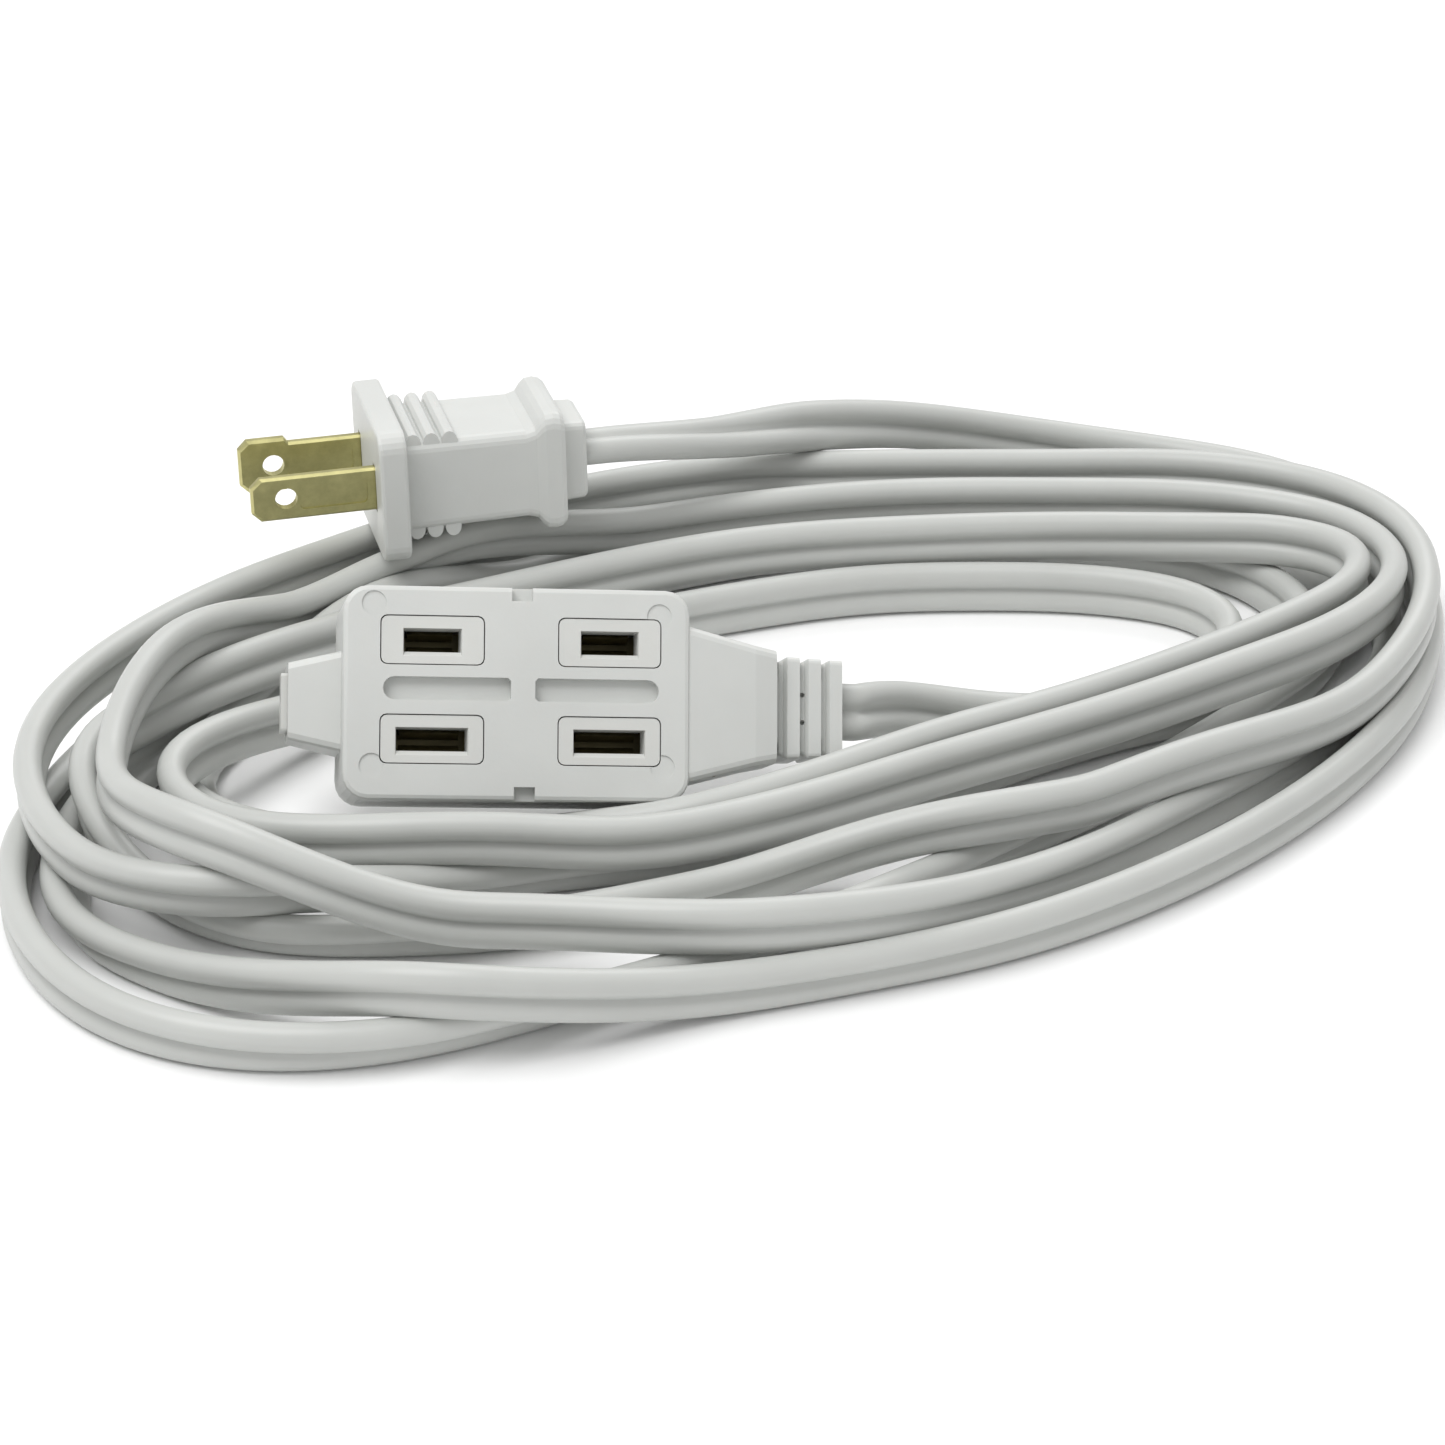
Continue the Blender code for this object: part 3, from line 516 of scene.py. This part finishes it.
class Nodes:
    """A short way to add nodes to a material and join them."""

    def __init__(self, name):
        self.material = bpy.data.materials.new(name)
        self.material.use_nodes = True
        self.tree = self.material.node_tree
        self.shader = self.tree.nodes["Principled BSDF"]

    def add(self, kind, **inputs):
        node = self.tree.nodes.new(kind)
        for name, value in inputs.items():
            node.inputs[name.replace("_", " ")].default_value = value
        return node

    def link(self, source, target):
        self.tree.links.new(source, target)


def two_tones(made, factor, low, high):
    """A colour that goes from one tone to the other: each is its position and its colour."""
    tone = made.add("ShaderNodeValToRGB")
    for stop, (position, colour) in zip(tone.color_ramp.elements, (low, high)):
        stop.position = position
        stop.color = (*colour, 1)
    made.link(factor, tone.inputs["Fac"])
    return tone.outputs["Color"]


def maths(made, operation, first, second):
    """One step of arithmetic on a socket and either a second socket or a number."""
    node = made.add("ShaderNodeMath")
    node.operation = operation
    made.link(first, node.inputs[0])
    if isinstance(second, float):
        node.inputs[1].default_value = second
    else:
        made.link(second, node.inputs[1])
    return node.outputs[0]


def dusty(made, place, clean):
    """The clean colour with a few small dark specks on it."""
    dust = made.add("ShaderNodeTexVoronoi", Scale=DUST_SCALE)
    made.link(place, dust.inputs["Vector"])
    pick = made.add("ShaderNodeSeparateColor")
    made.link(dust.outputs["Color"], pick.inputs["Color"])
    near = maths(made, "LESS_THAN", dust.outputs["Distance"], DUST_SIZE)
    rare = maths(made, "GREATER_THAN", pick.outputs["Red"], DUST_RARITY)
    mixed = made.add("ShaderNodeMix")
    mixed.data_type = "RGBA"
    mixed.inputs["B"].default_value = DUST_COLOUR
    made.link(maths(made, "MULTIPLY", near, rare), mixed.inputs["Factor"])
    made.link(clean, mixed.inputs["A"])
    return mixed.outputs["Result"]


def surface(made, height, duller, glossier, strength, depth):
    """Roughness between two values and a shallow relief, both from one texture."""
    gloss = made.add("ShaderNodeMapRange")
    gloss.inputs["To Min"].default_value = glossier
    gloss.inputs["To Max"].default_value = duller
    made.link(height, gloss.inputs["Value"])
    made.link(gloss.outputs["Result"], made.shader.inputs["Roughness"])
    bump = made.add("ShaderNodeBump", Strength=strength, Distance=depth)
    made.link(height, bump.inputs["Height"])
    made.link(bump.outputs["Normal"], made.shader.inputs["Normal"])


def plastic(name, colour, roughness, grain, mottle=0.02, streaks=False):
    """Moulded or extruded PVC: a soft mottle, a fine skin and a few specks of dust."""
    made = Nodes(name)
    shader = made.shader
    shader.inputs["IOR"].default_value = 1.5
    shader.inputs["Specular IOR Level"].default_value = 0.42
    shader.inputs["Subsurface Weight"].default_value = 0.12
    shader.inputs["Subsurface Radius"].default_value = (0.0012, 0.001, 0.0009)
    shader.inputs["Subsurface Scale"].default_value = 1.0
    place = made.add("ShaderNodeTexCoord").outputs["Object"]
    cloud = made.add("ShaderNodeTexNoise", Scale=55.0, Detail=3.0, Roughness=0.6)
    made.link(place, cloud.inputs["Vector"])
    darker = [c * (1 - mottle * 2) for c in colour]
    lighter = [min(1, c * (1 + mottle)) for c in colour]
    clean = two_tones(made, cloud.outputs["Fac"], (0.3, darker), (0.7, lighter))
    made.link(dusty(made, place, clean), shader.inputs["Base Color"])
    skin = made.add("ShaderNodeTexNoise", Scale=grain, Detail=4.0, Roughness=0.55)
    if streaks:
        jacket = made.add("ShaderNodeUVMap")
        jacket.uv_map = "jacket"
        stretch = made.add("ShaderNodeMapping", Scale=STREAK_SCALE)
        made.link(jacket.outputs["UV"], stretch.inputs["Vector"])
        made.link(stretch.outputs["Vector"], skin.inputs["Vector"])
        skin.inputs["Scale"].default_value = 1.0
    else:
        made.link(place, skin.inputs["Vector"])
    surface(made, skin.outputs["Fac"], roughness + 0.08, roughness - 0.06, 0.25, 0.00006)
    return made.material


def stamped_brass(name, colour, roughness):
    """Rolled strip: brushed along the plug's length, with faint stains."""
    made = Nodes(name)
    made.shader.inputs["Metallic"].default_value = 1.0
    place = made.add("ShaderNodeTexCoord").outputs["Object"]
    stain = made.add("ShaderNodeTexNoise", Scale=420.0, Detail=4.0, Roughness=0.65)
    made.link(place, stain.inputs["Vector"])
    stained = [c * 0.72 for c in colour]
    tone = two_tones(made, stain.outputs["Fac"], (0.25, stained), (0.75, colour))
    made.link(tone, made.shader.inputs["Base Color"])
    brushed = made.add("ShaderNodeMapping", Scale=BRUSHED_SCALE)
    brushed.inputs["Rotation"].default_value = (0, 0, math.radians(-PLUG_TURN[0]))
    made.link(place, brushed.inputs["Vector"])
    lines = made.add("ShaderNodeTexNoise", Scale=1.0, Detail=3.0)
    made.link(brushed.outputs["Vector"], lines.inputs["Vector"])
    surface(made, lines.outputs["Fac"], roughness + 0.12, roughness - 0.1, 0.2, 0.00003)
    return made.material


def make_looks():
    """One material for each slot, and a darker brass for the contact strips, which paints the shade inside
    the outlet's slots.
    """
    return {
        "overmould": plastic("soft_white_pvc", (0.62, 0.63, 0.61), 0.42, 1500.0),
        "housing": plastic("hard_white_housing", (0.64, 0.645, 0.62), 0.34, 900.0),
        "insulation": plastic("cord_jacket", (0.53, 0.54, 0.52), 0.36, 1000.0, streaks=True),
        "brass": stamped_brass("blade_brass", (0.62, 0.58, 0.28), 0.4),
        # the contact strips: brass darkened well below the blades' to paint the shade inside the slots
        "contact": stamped_brass("contact_brass_painted_shade", (0.26, 0.23, 0.13), 0.42),
        "copper": stamped_brass("strand_copper", (0.70, 0.36, 0.22), 0.4),
    }


def finish_cad_nodes(looks):
    """Every node of the frame gets its slot's material, and the contact strips their own darkened brass,
    with the slots' shade painted in.
    """
    slots = {entry["node"]: entry["material_slot"] for entry in frame["record"]["subparts"]}
    for name, node in frame["nodes"].items():
        node.data.materials.clear()
        node.data.materials.append(looks["contact" if "contact_strip" in name else slots[name]])


# ---- floor, light and camera, in metres ----

FLOOR_SIZE = 20.0
LIT_POINT = (0.02, 0.02, 0)
VIEW_DISTANCE = 0.54
VIEW_DOWN = math.radians(30)


def make_floor():
    bpy.ops.mesh.primitive_plane_add(size=FLOOR_SIZE, location=(0, 0, 0))
    floor = bpy.context.object
    floor.name = "floor"
    made = Nodes("floor_white")
    made.shader.inputs["Base Color"].default_value = (0.93, 0.93, 0.93, 1)
    made.shader.inputs["Roughness"].default_value = 0.9
    made.shader.inputs["Specular IOR Level"].default_value = 0.1
    floor.data.materials.append(made.material)


def area_light(name, place, size, power):
    """A round soft light that shines at the middle of the coil."""
    light = bpy.data.lights.new(name, "AREA")
    light.shape = "DISK"
    light.size = size
    light.energy = power
    lamp = bpy.data.objects.new(name, light)
    bpy.context.collection.objects.link(lamp)
    lamp.location = place
    lamp.rotation_euler = (Vector(LIT_POINT) - Vector(place)).to_track_quat("-Z", "Y").to_euler()


def make_light():
    world = bpy.data.worlds.new("studio")
    world.use_nodes = True
    world.node_tree.nodes["Background"].inputs["Color"].default_value = (1, 1, 1, 1)
    world.node_tree.nodes["Background"].inputs["Strength"].default_value = 0.62
    bpy.context.scene.world = world
    area_light("key", (-0.35, -0.25, 1.1), 0.9, 9.0)
    area_light("back", (0.3, 0.9, 0.9), 0.8, 4.0)


def make_camera():
    """Looks along +Y and down, at the coil's centre."""
    data = bpy.data.cameras.new("camera")
    data.sensor_width = 36.0
    data.lens = 97.2
    camera = bpy.data.objects.new("camera", data)
    bpy.context.collection.objects.link(camera)
    towards_camera = Vector((0, -math.cos(VIEW_DOWN), math.sin(VIEW_DOWN)))
    camera.location = Vector(COIL_CENTRE) + towards_camera * VIEW_DISTANCE
    camera.rotation_euler = (math.radians(90) - VIEW_DOWN, 0, 0)
    bpy.context.scene.camera = camera


def main():
    bpy.context.scene.view_settings.view_transform = "Standard"
    looks = make_looks()
    make_camera()
    make_cord(looks["insulation"])
    finish_cad_nodes(looks)
    make_floor()
    make_light()


main()
